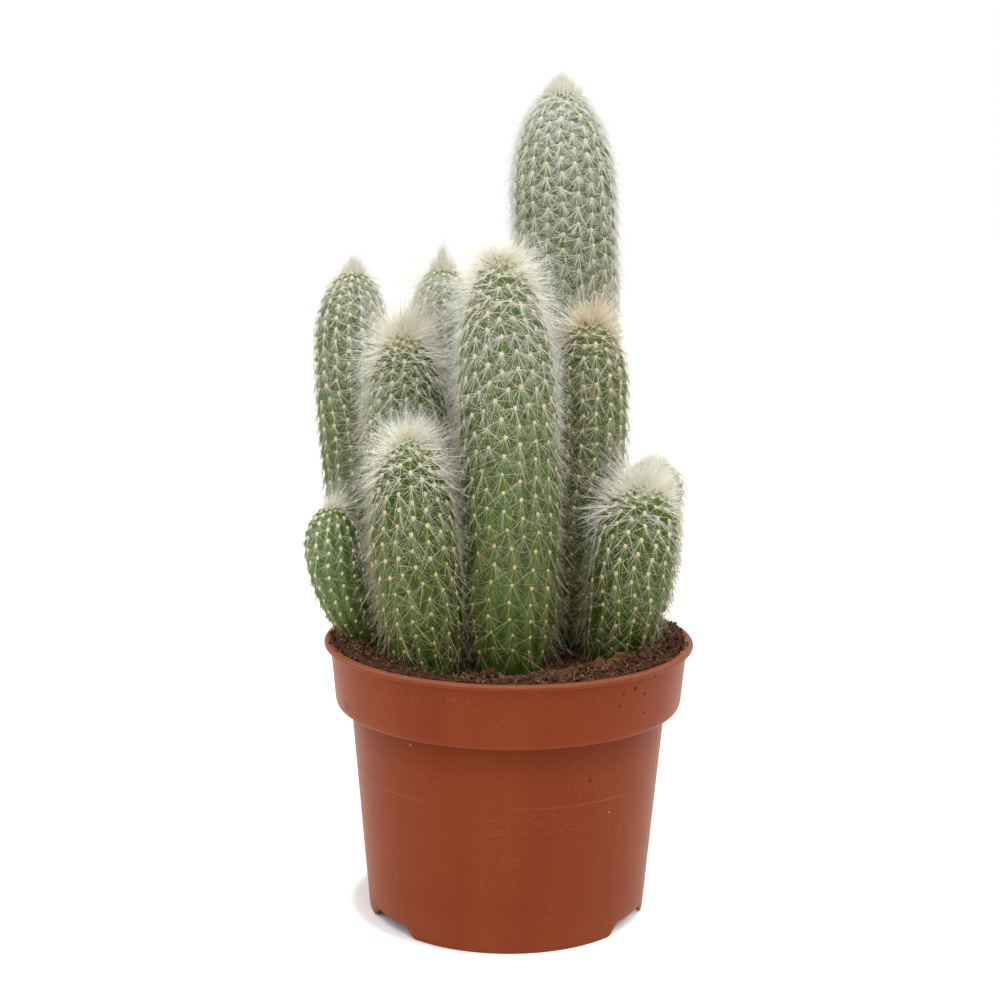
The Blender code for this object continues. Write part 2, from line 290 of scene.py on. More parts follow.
def rib_turn(stem, z):
    """How far the ribs have turned at each height; most of the twist is low on the stem."""
    coat = COATS[stem.name]
    down = np.clip((stem.height * MM - z) / (stem.height * MM - SOIL_LINE), 0, 1)
    return coat.turn + coat.twist * down**2


def row_offsets(stem):
    """Areoles of neighbouring ribs alternate, with a little unevenness from rib to rib."""
    coat = COATS[stem.name]
    rng = np.random.default_rng(int(stem.height) + 50)
    return 0.5 * (np.arange(coat.high_ribs) % 2) + rng.uniform(-0.18, 0.18, coat.high_ribs)


def skin_places(stem, z, reach, angle):
    """Points at a reach and an angle from the stem's centre line."""
    centre = centre_line(stem, z)
    return np.c_[centre[:, 0] + reach * np.cos(angle), centre[:, 1] + reach * np.sin(angle), z]


def skin_mesh(stem):
    """Closed ribbed skin, with how near the rib's crest and how high each point lies."""
    coat = COATS[stem.name]
    heights, along, numbers = row_numbers(stem)
    rows = int(along[-1] / SKIN_ROW)
    down = along[-1] * np.arange(1, rows + 1) / rows
    z = np.interp(down, along, heights)
    number = np.interp(down, along, numbers)
    edges, grown = rib_edges(stem, z)
    offsets = row_offsets(stem)
    turn = (np.arange(SKIN_COLUMNS) + 0.5) / SKIN_COLUMNS
    radius = skin_radius(stem, z)
    fade = np.minimum(1, radius / (0.8 * stem.radius * MM))
    angles = math.tau * turn[None, :] + rib_turn(stem, z)[:, None]
    rings, crests, rises, fresh = [], [], [], []
    for i in range(rows):
        rib = np.searchsorted(edges[:, i], turn, side="right") - 1
        rib = np.clip(rib, 0, coat.high_ribs - 1)
        width = np.maximum(edges[rib + 1, i] - edges[rib, i], 1e-6)
        across = np.clip((turn - edges[rib, i]) / width, 0, 1)
        crest = np.sin(math.pi * across) ** 0.7 * grown[rib, i]
        lobe = np.cos(math.tau * (number[i] - offsets[rib])) * crest**2
        relief = RIB_DEPTH * (crest - 0.6) + LOBE_DEPTH * lobe
        level = np.full(SKIN_COLUMNS, z[i])
        rings.append(skin_places(stem, level, radius[i] + relief * fade[i], angles[i]))
        crests.append(crest)
        # Share of the height, held down on stems in the shade of others so that they take the darker
        # low skin: painted shade
        rise = (z[i] - SOIL_LINE) / (stem.height * MM - SOIL_LINE) * (1 - max(coat.dark, 0))
        rises.append(np.full(SKIN_COLUMNS, rise))
        youth = max(1 - smooth_step(down[i] / FRESH_LENGTH), -coat.dark)
        fresh.append(np.full(SKIN_COLUMNS, youth))
    # Buried end, which narrows to a stump
    for depth, size in ((0.1, 1), (0.8, 0.9), (1, 0.5)):
        level = np.full(SKIN_COLUMNS, SOIL_LINE - depth * BURIED)
        rings.append(skin_places(stem, level, stem.neck * MM * size, angles[-1]))
        for numbers in (crests, rises, fresh):
            numbers.append(np.zeros(SKIN_COLUMNS))
    return lathe_mesh(stem, rings, crest=crests, rise=rises, fresh=fresh)


def lathe_mesh(stem, rings, **numbers):
    """Joins rings of points, listed from the top down, and closes both ends to a point."""
    count, columns = len(rings), len(rings[0])
    top = np.r_[centre_line(stem, np.array([stem.height * MM]))[0], stem.height * MM]
    bottom = rings[-1].mean(axis=0)
    faces = ring_faces(count, columns)
    last = (count - 1) * columns
    for a in range(columns):
        b = (a + 1) % columns
        faces.append((count * columns, a, b))
        faces.append((count * columns + 1, last + b, last + a))
    mesh = new_mesh(stem.name + "_skin", np.vstack([*rings, top, bottom]), faces)
    for key, values in numbers.items():
        set_attribute(mesh, key, np.r_[np.concatenate(values), 1, 0])
    mesh.shade_smooth()
    return mesh


def skin_frame(stem, z, angle):
    """Outward and upward directions of the skin."""
    slope = (skin_radius(stem, z + 0.2 * MM) - skin_radius(stem, z - 0.2 * MM)) / (0.4 * MM)
    tilt = np.arctan(-slope)
    out = np.c_[np.cos(angle) * np.cos(tilt), np.sin(angle) * np.cos(tilt), np.sin(tilt)]
    up = np.c_[-np.cos(angle) * np.sin(tilt), -np.sin(angle) * np.sin(tilt), np.cos(tilt)]
    return out, up


def areole_points(stem):
    """A point at every areole, with the numbers its wool and bristles grow by."""
    coat = COATS[stem.name]
    crown = CROWNS[stem.name]
    rng = np.random.default_rng(int(stem.height) + 100)
    heights, along, numbers = row_numbers(stem)
    offsets = row_offsets(stem)
    found = []
    for rib in range(coat.high_ribs):
        number = np.arange(int(numbers[-1])) + offsets[rib] % 1
        z = np.interp(number, numbers, heights)
        edges, grown = rib_edges(stem, z)
        keep = (grown[rib] > 0.55) & (z > SOIL_LINE + LOWEST_AREOLE)
        middle = (edges[rib] + edges[rib + 1]) / 2
        angle = math.tau * middle + rib_turn(stem, z) + rng.normal(0, 0.012, len(z))
        distance = np.interp(number, numbers, along)
        found.append(np.c_[z, angle, distance][keep])
    z, angle, distance = np.vstack(found).T
    radius = skin_radius(stem, z)
    outward, upward = skin_frame(stem, z, angle)
    fade = np.minimum(1, radius / (0.8 * stem.radius * MM))
    reach = radius + (0.4 * RIB_DEPTH + 0.8 * LOBE_DEPTH) * fade
    vigour = (z - SOIL_LINE) / (stem.height * MM - SOIL_LINE)
    old = smooth_step((distance / MM - 0.3 * crown.zone) / crown.zone)
    lush = np.clip((vigour - 0.1) / 0.6, 0, 1)
    amount = crown.young + (coat.few + (coat.many - coat.few) * lush - crown.young) * old
    wool_grown = np.minimum(1, distance / SMALL_WOOL_LENGTH)
    return point_mesh(
        stem.name + "_areoles", skin_places(stem, z, reach, angle), outward=outward, upward=upward,
        # Vigour is lowered on stems in the shade of others, which browns their wool and greys their
        # bristles: painted shade
        vigour=vigour * (1 - 0.3 * coat.dark), young=1 - old,
        amount=amount * (0.55 + 0.45 * np.minimum(1, distance / THIN_LENGTH)),
        length=(crown.length + (coat.length - crown.length) * old) * MM,
        least=np.radians(coat.lie) * old,
        most=np.radians(YOUNG_LOOSEST + (OLD_LOOSEST - YOUNG_LOOSEST) * old),
        fan=YOUNG_FAN + (OLD_FAN - YOUNG_FAN) * old,
        size=(0.6 + 0.4 * wool_grown) * (0.82 + 0.18 * lush),
    )


def tuft_points(stem):
    """Points on the very top, whose bristles fan out from a point below the apex."""
    crown = CROWNS[stem.name]
    rng = np.random.default_rng(int(stem.height))
    share = rng.uniform(0, 1, crown.roots) ** 0.8
    across = crown.radius * MM * share
    angle = rng.uniform(0, math.tau, crown.roots)
    heights, _, _ = row_numbers(stem)
    z = np.interp(across, skin_radius(stem, heights), heights)
    places = skin_places(stem, z, across, angle)
    apex = centre_line(stem, np.array([stem.height * MM]))[0]
    outward = places - np.r_[apex, (stem.height - crown.focus) * MM]
    outward /= np.linalg.norm(outward, axis=1)[:, None]
    upward = np.cross(outward, [math.cos(1), math.sin(1), 0])
    upward /= np.linalg.norm(upward, axis=1)[:, None]
    flat = np.ones(crown.roots)
    return point_mesh(
        stem.name + "_crown", places, outward=outward, upward=upward, vigour=flat, young=flat,
        amount=TUFT_BRISTLES * flat, length=crown.height * MM * (1 - crown.point * share),
        least=0 * flat, most=math.radians(crown.loose) * flat, fan=math.pi * flat,
    )


# Geometry Nodes


def new_tree(name, **sockets):
    """A geometry tree with named inputs, what it is given and the function that adds nodes to it."""
    tree = bpy.data.node_groups.new(name, "GeometryNodeTree")
    tree.interface.new_socket("Geometry", in_out="INPUT", socket_type="NodeSocketGeometry")
    tree.interface.new_socket("Geometry", in_out="OUTPUT", socket_type="NodeSocketGeometry")
    for socket, kind in sockets.items():
        socket = socket.replace("_", " ")
        tree.interface.new_socket(socket, in_out="INPUT", socket_type="NodeSocket" + kind)
    return tree, tree.nodes.new("NodeGroupInput").outputs, partial(add_node, tree)


def finish_tree(tree, given, shaped, bend=None):
    """Makes the instances real, bends and smooths them if asked and gives them their material."""
    add = partial(add_node, tree)
    shaped = add("GeometryNodeRealizeInstances", [shaped])
    if bend is not None:
        shaped = add("GeometryNodeSetPosition", {"Geometry": shaped, "Offset": bend})
        shaped = add("GeometryNodeSetShadeSmooth", [shaped])
    shaped = add("GeometryNodeSetMaterial", {"Geometry": shaped, "Material": given["Material"]})
    fill(tree.nodes.new("NodeGroupOutput"), {"Geometry": shaped})
    return tree


def grow(tree, name, mesh, values):
    """Runs a tree over a mesh and returns the result as a plain object."""
    base = mesh_object(name, mesh)
    modifier = base.modifiers.new(tree.name, "NODES")
    modifier.node_group = tree
    for item in tree.interface.items_tree:
        if item.in_out == "INPUT" and item.name in values:
            modifier[item.identifier] = values[item.name]
    bpy.context.view_layer.update()
    depsgraph = bpy.context.evaluated_depsgraph_get()
    grown = bpy.data.meshes.new_from_object(base.evaluated_get(depsgraph))
    base.modifiers.remove(modifier)
    base.data = grown
    base.data.name = name
    return base


def swung(add, start, towards, angle):
    """Direction at an angle from a start towards another direction."""
    parts = []
    for direction, wave in ((start, "COSINE"), (towards, "SINE")):
        share = add("ShaderNodeMath", [angle], operation=wave)
        parts.append(add("ShaderNodeVectorMath", {0: direction, "Scale": share}, operation="SCALE"))
    return add("ShaderNodeVectorMath", parts, operation="ADD")


# Random numbers of a bristle, each with its lowest and highest value. The two turns add up to its
# place in the fan, so that most bristles point nearly straight down.
BRISTLE_DRAWS = [
    ("turn", -0.5, 0.5), ("other turn", -0.5, 0.5), ("lie", 0.0, 1.0), ("growth", 0.0, 1.0),
    ("girth", 0.75, 1.15), ("glow", 0.4, 1.0), ("rarity", 0.0, 1.0),
]


def bristle_tree():
    """Fans of fine pointed bristles from every root, most of them downwards and sideways."""
    tree, given, add = new_tree(
        "bristles", Thickness="Float", Root_offset="Float", Warmth="Float", Long_share="Float",
        Shortest="Float", Lift="Float", Seed="Int", Material="Material",
    )
    draws = {}
    for step, (name, low, high) in enumerate(BRISTLE_DRAWS, 1):
        seed = add("ShaderNodeMath", [given["Seed"], step], operation="ADD")
        inputs = {2: low, 3: high, "Seed": seed}
        draws[name] = add("FunctionNodeRandomValue", inputs, out=1, data_type="FLOAT")
    outward, upward = [
        add("GeometryNodeInputNamedAttribute", {"Name": name}, "Attribute", data_type="FLOAT_VECTOR")
        for name in ("outward", "upward")
    ]
    amount, full, least, most, fan, young = [
        add("GeometryNodeInputNamedAttribute", {"Name": name}, "Attribute", data_type="FLOAT")
        for name in ("amount", "length", "least", "most", "fan", "young")
    ]

    # Direction: down the skin or to the sides of that, and out from it; a young one is lifted
    sway = add("ShaderNodeMath", [draws["turn"], draws["other turn"]], operation="ADD")
    spin = add("ShaderNodeMath", [fan, sway], operation="MULTIPLY")
    lie = add("ShaderNodeMath", [draws["lie"], 0.6], operation="POWER")
    span = add("ShaderNodeMath", [most, least], operation="SUBTRACT")
    tilt = add("ShaderNodeMath", [lie, span, least], operation="MULTIPLY_ADD")
    across = add("ShaderNodeVectorMath", [outward, upward], operation="CROSS_PRODUCT")
    down = add("ShaderNodeVectorMath", {0: upward, "Scale": -1.0}, operation="SCALE")
    side = swung(add, down, across, spin)
    lift = add("ShaderNodeMath", [young, given["Lift"]], operation="MULTIPLY")
    erect = add("ShaderNodeCombineXYZ", {"Z": lift})
    heading = add("ShaderNodeVectorMath", [swung(add, outward, side, tilt), erect], operation="ADD")
    heading = add("ShaderNodeVectorMath", [heading], operation="NORMALIZE")

    # Length and warmth: a few central bristles are longer and more golden
    central = add("ShaderNodeMath", [draws["rarity"], given["Long share"]], operation="LESS_THAN")
    spread = add("ShaderNodeMath", [1.1, given["Shortest"]], operation="SUBTRACT")
    growth = add("ShaderNodeMath", [draws["growth"], 1.5], operation="POWER")
    share = add("ShaderNodeMath", [spread, growth, given["Shortest"]], operation="MULTIPLY_ADD")
    share = add("ShaderNodeMath", [central, 0.5, share], operation="MULTIPLY_ADD")
    length = add("ShaderNodeMath", [full, share], operation="MULTIPLY")
    tint = add("ShaderNodeMath", [given["Warmth"], draws["glow"]], operation="MULTIPLY")
    tint = add("ShaderNodeMath", [central, 0.4, tint], operation="MULTIPLY_ADD")
    roots = add("GeometryNodeDuplicateElements", {
        "Geometry": given["Geometry"], "Amount": amount,
    }, domain="POINT")
    for name, value, kind in (
        ("long", length, "FLOAT"), ("heading", heading, "FLOAT_VECTOR"), ("warmth", tint, "FLOAT"),
    ):
        inputs = {"Geometry": roots, "Name": name, "Value": value}
        roots = add("GeometryNodeStoreNamedAttribute", inputs, data_type=kind, domain="POINT")
    offset = add("ShaderNodeVectorMath", {0: side, "Scale": given["Root offset"]}, operation="SCALE")
    roots = add("GeometryNodeSetPosition", {"Geometry": roots, "Offset": offset})

    # A bristle that would run through the pot's wall is left out
    heading = add("GeometryNodeInputNamedAttribute", {"Name": "heading"}, "Attribute",
                  data_type="FLOAT_VECTOR")
    length = add("GeometryNodeInputNamedAttribute", {"Name": "long"}, "Attribute", data_type="FLOAT")
    place = add("GeometryNodeInputPosition")
    reach = add("ShaderNodeVectorMath", {0: heading, "Scale": length}, operation="SCALE")
    tip = add("ShaderNodeVectorMath", [place, reach], operation="ADD")
    level = add("ShaderNodeVectorMath", [tip, tuple(AXIS)], operation="SUBTRACT")
    level = add("ShaderNodeVectorMath", [level, (1, 1, 0)], operation="MULTIPLY")
    radial = add("ShaderNodeVectorMath", [level], "Value", operation="LENGTH")
    height = add("ShaderNodeSeparateXYZ", [tip], "Z")
    low = add("ShaderNodeMath", [height, POT_HEIGHT + 0.5 * MM], operation="LESS_THAN")
    far = add("ShaderNodeMath", [radial, LIP_RADIUS - 4.5 * MM], operation="GREATER_THAN")
    through = add("ShaderNodeMath", [low, far], operation="MULTIPLY")
    roots = add("GeometryNodeDeleteGeometry", [roots, through], domain="POINT")

    needle = pinched_prism(add)
    along = add("ShaderNodeSeparateXYZ", [place], "Z")
    needle = add("GeometryNodeStoreNamedAttribute", {
        "Geometry": needle, "Name": "along", "Value": along,
    }, data_type="FLOAT", domain="POINT")
    thick = add("ShaderNodeMath", [given["Thickness"], draws["girth"]], operation="MULTIPLY")
    placed = add("GeometryNodeInstanceOnPoints", {
        "Points": roots, "Instance": needle,
        "Rotation": add("FunctionNodeAlignRotationToVector", {"Vector": heading}, axis="Z"),
        "Scale": add("ShaderNodeCombineXYZ", [thick, thick, length]),
    })
    return finish_tree(tree, given, placed)


def pinched_prism(add):
    """Closed needle of length one: three sides at the foot, drawn together to an edge at the tip."""
    inputs = {"Vertices": 3, "Radius": 0.5, "Depth": 1.0}
    prism = add("GeometryNodeMeshCylinder", inputs, fill_type="NGON")
    prism = add("GeometryNodeTransform", {"Geometry": prism, "Translation": (0, 0, 0.5)})
    place = add("GeometryNodeInputPosition")
    height = add("ShaderNodeSeparateXYZ", [place], "Z")
    across = add("ShaderNodeSeparateXYZ", [place], "Y")
    top = add("ShaderNodeMath", [height, 0.5], operation="GREATER_THAN")
    side = add("ShaderNodeMath", [across, -0.1], operation="GREATER_THAN")
    side = add("ShaderNodeMath", [side, 0.5, -0.25], operation="MULTIPLY_ADD")
    tip = add("ShaderNodeCombineXYZ", {"Y": side, "Z": 1.0})
    prism = add("GeometryNodeSetPosition", {"Geometry": prism, "Selection": top, "Position": tip})
    return add("GeometryNodeMergeByDistance", {"Geometry": prism, "Distance": 0.001})


def lump_offset(add, lumps, distance):
    """Moves points by a noise with so many lumps to the metre."""
    noise_colour = add("ShaderNodeTexNoise", {"Scale": lumps, "Detail": 1.0}, "Color")
    centred = add("ShaderNodeVectorMath", [noise_colour, (0.5, 0.5, 0.5)], operation="SUBTRACT")
    return add("ShaderNodeVectorMath", {0: centred, "Scale": distance}, operation="SCALE")


def wool_tree():
    """A small lumpy cushion of wool on every areole."""
    tree, given, add = new_tree("wool", Width="Float", Seed="Int", Material="Material")
    outward, upward = [
        add("GeometryNodeInputNamedAttribute", {"Name": name}, "Attribute", data_type="FLOAT_VECTOR")
        for name in ("outward", "upward")
    ]
    size = add("GeometryNodeInputNamedAttribute", {"Name": "size"}, "Attribute", data_type="FLOAT")
    turned = add("FunctionNodeAlignRotationToVector", {"Vector": outward}, axis="Z")
    inputs = {"Rotation": turned, "Vector": upward}
    turned = add("FunctionNodeAlignRotationToVector", inputs, axis="Y", pivot_axis="Z")
    inputs = {2: 0.8, 3: 1.15, "Seed": given["Seed"]}
    draw = add("FunctionNodeRandomValue", inputs, out=1, data_type="FLOAT")
    width = add("ShaderNodeMath", [draw, size], operation="MULTIPLY")
    width = add("ShaderNodeMath", [given["Width"], width], operation="MULTIPLY")
    placed = add("GeometryNodeInstanceOnPoints", {
        "Points": given["Geometry"], "Rotation": turned,
        "Instance": add("GeometryNodeMeshUVSphere", {"Segments": 6, "Rings": 3, "Radius": 0.5}),
        "Scale": add("ShaderNodeVectorMath", {0: WOOL_SHAPE, "Scale": width}, operation="SCALE"),
    })
    return finish_tree(tree, given, placed, lump_offset(add, 1.7 / MM, 0.9 * MM))


def crumb_tree():
    """Rough crumbs of peat on loose points that carry their size and tone."""
    tree, given, add = new_tree("crumbs", Rounds="Int", Rough="Float", Seed="Int", Material="Material")
    inputs = {0: (0, 0, 0), 1: (math.tau, math.tau, math.tau), "Seed": given["Seed"]}
    turned = add("FunctionNodeRandomValue", inputs, data_type="FLOAT_VECTOR")
    size = add("GeometryNodeInputNamedAttribute", {"Name": "size"}, "Attribute",
               data_type="FLOAT_VECTOR")
    placed = add("GeometryNodeInstanceOnPoints", {
        "Points": given["Geometry"], "Rotation": turned, "Scale": size,
        "Instance": add("GeometryNodeMeshIcoSphere", {"Radius": 0.5, "Subdivisions": given["Rounds"]}),
    })
    return finish_tree(tree, given, placed, lump_offset(add, 0.9 / MM, given["Rough"]))


# Finishes of the stems. The scales of all patterns are in repeats to the millimetre.


def skin_material():
    """Living cactus skin: waxy green, mottled in blotches of about 4 mm with flecks under 1 mm. Painted
    shade makes it a little darker down in the grooves, low on the stems and on the stems that stand
    in the shade of others."""
    material, shader, add = new_material("waxy cactus skin")
    crest, rise, fresh = [
        add("ShaderNodeAttribute", out="Fac", attribute_name=name)
        for name in ("crest", "rise", "fresh")
    ]
    place = add("ShaderNodeTexCoord", out="Object")
    blotches = add("ShaderNodeTexNoise", {"Vector": place, "Scale": 0.26 / MM, "Detail": 3.0})
    flecks = add("ShaderNodeTexNoise", {"Vector": place, "Scale": 1.5 / MM, "Detail": 2.0})
    uneven = add("ShaderNodeMath", [blotches, 0.5], operation="SUBTRACT")
    # Crests lighter and grooves darker: painted shade
    lit = add("ShaderNodeMath", [crest, 0.65, 0.22], operation="MULTIPLY_ADD")
    shade = add("ShaderNodeMath", [uneven, 0.9, lit], operation="MULTIPLY_ADD")
    # Ramps for the low, high and young skin; the darker low skin is painted shade
    low, high, young = [
        add("ShaderNodeValToRGB", [shade], stops=((0.05, groove), (0.45, flank), (1.0, crest_colour)))
        for groove, flank, crest_colour in (
            ("#1A2606", "#31400A", "#465A10"), ("#2E3820", "#4A592D", "#5C6D38"),
            ("#33471A", "#526D2A", "#6C8640"),
        )
    ]
    pale = add("ShaderNodeValToRGB", [flecks], stops=((0.6, "#000000"), (0.75, "#FFFFFF")))
    pale = add("ShaderNodeMath", [pale, 0.2], operation="MULTIPLY")
    colour = low
    for factor, over in ((rise, high), (fresh, young), (pale, linear("#8FA05C"))):
        inputs = {"Factor": factor, "A": colour, "B": over}
        colour = add("ShaderNodeMix", inputs, "Result", data_type="RGBA")
    bump = add("ShaderNodeBump", {"Height": flecks, "Strength": 0.3, "Distance": 0.1 * MM})
    fill(shader, {"Base Color": colour, "Roughness": 0.55, "Specular IOR Level": 0.25, "Normal": bump})
    return material


def wool_material():
    """Areole wool: felted cream hair, browner where it is old and low, and browner on the stems in
    the shade of others as painted shade.
    """
    material, shader, add = new_material("felted areole wool")
    vigour = add("ShaderNodeAttribute", out="Fac", attribute_name="vigour")
    place = add("ShaderNodeTexCoord", out="Object")
    fibres = add("ShaderNodeTexNoise", {"Vector": place, "Scale": 2.6 / MM, "Detail": 2.0})
    uneven = add("ShaderNodeMath", [fibres, 0.5, -0.25], operation="MULTIPLY_ADD")
    shade = add("ShaderNodeMath", [vigour, uneven], operation="ADD")
    stops = (0.0, "#B89C66"), (0.3, "#C8B48A"), (1.0, "#D4CAAC")
    colour = add("ShaderNodeValToRGB", [shade], stops=stops)
    bump = add("ShaderNodeBump", {"Height": fibres, "Strength": 0.6, "Distance": 0.15 * MM})
    fill(shader, {"Base Color": colour, "Roughness": 0.9, "Specular IOR Level": 0.1, "Normal": bump})
    return material


def bristle_material():
    """Bristles: glassy white spines, cream at the root and golden on one crown, greyer and tan low on
    the stems, partly with age and partly as painted shade. Young ones glow faintly, a painted glow
    that stands in for light coming through them from the far side."""
    material, shader, add = new_material("glassy white bristle")
    along, warmth, vigour, young = [
        add("ShaderNodeAttribute", out="Fac", attribute_name=name)
        for name in ("along", "warmth", "vigour", "young")
    ]
    # The second ramp greys and browns bristles low on the stems and on stems in shade: partly age,
    # partly painted shade
    stalk, aged_and_shaded, fresh, golden = [
        add("ShaderNodeValToRGB", [factor], stops=stops) for factor, stops in (
            (along, ((0.0, "#DAD6C8"), (0.3, "#E4E4DE"), (1.0, "#E8EAEA"))),
            (vigour, ((0.0, "#988F6C"), (0.35, "#BAB799"), (0.7, "#EAEAE0"), (1.0, "#FFFFFE"))),
            (along, ((0.0, "#DCD8C2"), (0.45, "#E6E5DA"), (1.0, "#EEEFEC"))),
            (along, ((0.0, "#C08C38"), (0.3, "#D2B068"), (0.8, "#E6E0C8"))),
        )
    ]
    inputs = {"Factor": 1.0, "A": stalk, "B": aged_and_shaded}
    colour = add("ShaderNodeMix", inputs, "Result", data_type="RGBA", blend_type="MULTIPLY")
    for factor, over in ((young, fresh), (warmth, golden)):
        inputs = {"Factor": factor, "A": colour, "B": over}
        colour = add("ShaderNodeMix", inputs, "Result", data_type="RGBA")
    # Young bristles glow faintly: a painted glow for light coming through them
    inputs = {"Factor": young, "A": linear("#000000"), "B": colour}
    glow = add("ShaderNodeMix", inputs, "Result", data_type="RGBA")
    fill(shader, {
        "Base Color": colour, "Emission Color": glow, "Emission Strength": 0.06,
        "Roughness": 0.5, "Specular IOR Level": 0.3,
    })
    return material


def make_stems():
    skin, wool, bristle = skin_material(), wool_material(), bristle_material()
    bristles, cushions = bristle_tree(), wool_tree()
    for index, stem in enumerate(STEMS):
        coat, crown = COATS[stem.name], CROWNS[stem.name]
        mesh = skin_mesh(stem)
        mesh.materials.append(skin)
        body = mesh_object(stem.name + "_skin", mesh)
        points = areole_points(stem)
        wools = grow(cushions, stem.name + "_wool", points.copy(), {
            "Width": WOOL_WIDTH, "Seed": index, "Material": wool,
        })
        spines = grow(bristles, stem.name + "_bristles", points, {
            "Thickness": BRISTLE_THICKNESS * (0.82 + 0.18 * coat.dark), "Root offset": BRISTLE_FOOT,
            "Warmth": 0.45 * crown.gold, "Long share": CENTRAL_SHARE, "Shortest": 0.45, "Lift": 0.1,
            "Seed": 10 * index, "Material": bristle,
        })
        tuft = grow(bristles, stem.name + "_tuft", tuft_points(stem), {
            "Thickness": HAIR_THICKNESS, "Root offset": HAIR_FOOT, "Warmth": crown.gold,
            "Long share": 0.0, "Shortest": crown.least, "Lift": 0.0, "Seed": 10 * index + 5,
            "Material": bristle,
        })
        for piece in (body, wools, spines, tuft):
            finish_piece(piece, stem.name)


# Pot

WALL = 1.2 * MM
FLOOR = 6 * MM
LIP_THICKNESS = 1.5 * MM
BAND_BOTTOM = 69.2 * MM
BAND_TOP_RADIUS = LIP_RADIUS - 1.9 * MM
BAND_LOW_RADIUS = BAND_TOP_RADIUS - 1.9 * MM
BODY_TOP_RADIUS = 51.4 * MM
FOOT_RADIUS = 45.4 * MM
NOTCH_HEIGHT = 3.5 * MM
NOTCH_ANGLES = (-55, 62, 184)
NOTCH_HALF = 12.7
NOTCH_SLOPE = 7
TURN_STEP = 2.5
FINE_TURN_STEP = 0.8

# Fine specks all over the plastic: cells to the millimetre, radius in cells, how rare they are,
# how much they show and their colour
SPECKLES = [
    (0.16, 0.045, 0.85, 0.4, "#C9A893"), (0.33, 0.06, 0.8, 0.1, "#B98A70"),
    (0.13, 0.06, 0.75, 0.75, "#3A1A10"), (0.28, 0.07, 0.75, 0.5, "#4A2214"),
]
# Dark specks of peat that stick to the band: place from the pot's axis and radius, millimetres
SPECKS = [
    ((-51.3, -24.1, 74.3), 1.2), ((-50.7, -24.9, 72.9), 1.2), ((38.7, -42.7, 85.3), 0.75),
    ((41.9, -39.3, 82.8), 0.65), ((35.1, -45.6, 84.2), 0.45), ((33.8, -46.2, 80.8), 0.5),
    ((41.7, -38.6, 76.4), 0.45), ((40.7, -41.2, 87.6), 0.45), ((45.2, -36.2, 87.5), 0.55),
    ((55, -13.6, 74.2), 0.5),
]
RED_MARK = ((-48.1, -30.3, 76.1), 1.4)


def band_mask(add, height, level, width):
    """One near a level of the height and falling to nothing at a distance from it."""
    away = add("ShaderNodeMath", [height, level], operation="SUBTRACT")
    away = add("ShaderNodeMath", [away], operation="ABSOLUTE")
    return add("ShaderNodeMapRange", [away, 0.0, width, 1.0, 0.0])


def near_mask(add, place, spot, radius):
    """One at a spot on the pot, in millimetres from its axis, and nothing beyond a radius."""
    middle = AXIS + Vector(spot) * MM
    away = add("ShaderNodeVectorMath", [place, tuple(middle)], "Value", operation="DISTANCE")
    return add("ShaderNodeMapRange", [away, 0.6 * radius * MM, radius * MM, 1.0, 0.0])


def speck_mask(add, place, cells, radius, rare):
    """Sparse round specks: cells of a Voronoi pattern of which only the rare ones show."""
    distance = add("ShaderNodeTexVoronoi", {"Vector": place, "Scale": cells / MM}, "Distance")
    dots = add("ShaderNodeMapRange", [distance, radius, radius * 1.5, 1.0, 0.0])
    draw = add("ShaderNodeSeparateColor", {"Color": distance.node.outputs["Color"]})
    chosen = add("ShaderNodeMath", [draw, rare], operation="GREATER_THAN")
    return add("ShaderNodeMath", [dots, chosen], operation="MULTIPLY")


def lay_over(add, colour, shade, share, *masks):
    """Lays a shade over a colour where all the masks are full. A mask is a socket, or a value with
    the levels at which it is empty and full."""
    for mask in masks:
        if isinstance(mask, tuple):
            mask = add("ShaderNodeMapRange", mask)
        share = add("ShaderNodeMath", [mask, share], operation="MULTIPLY")
    inputs = {"Factor": share, "A": colour, "B": linear(shade)}
    return add("ShaderNodeMix", inputs, "Result", data_type="RGBA")


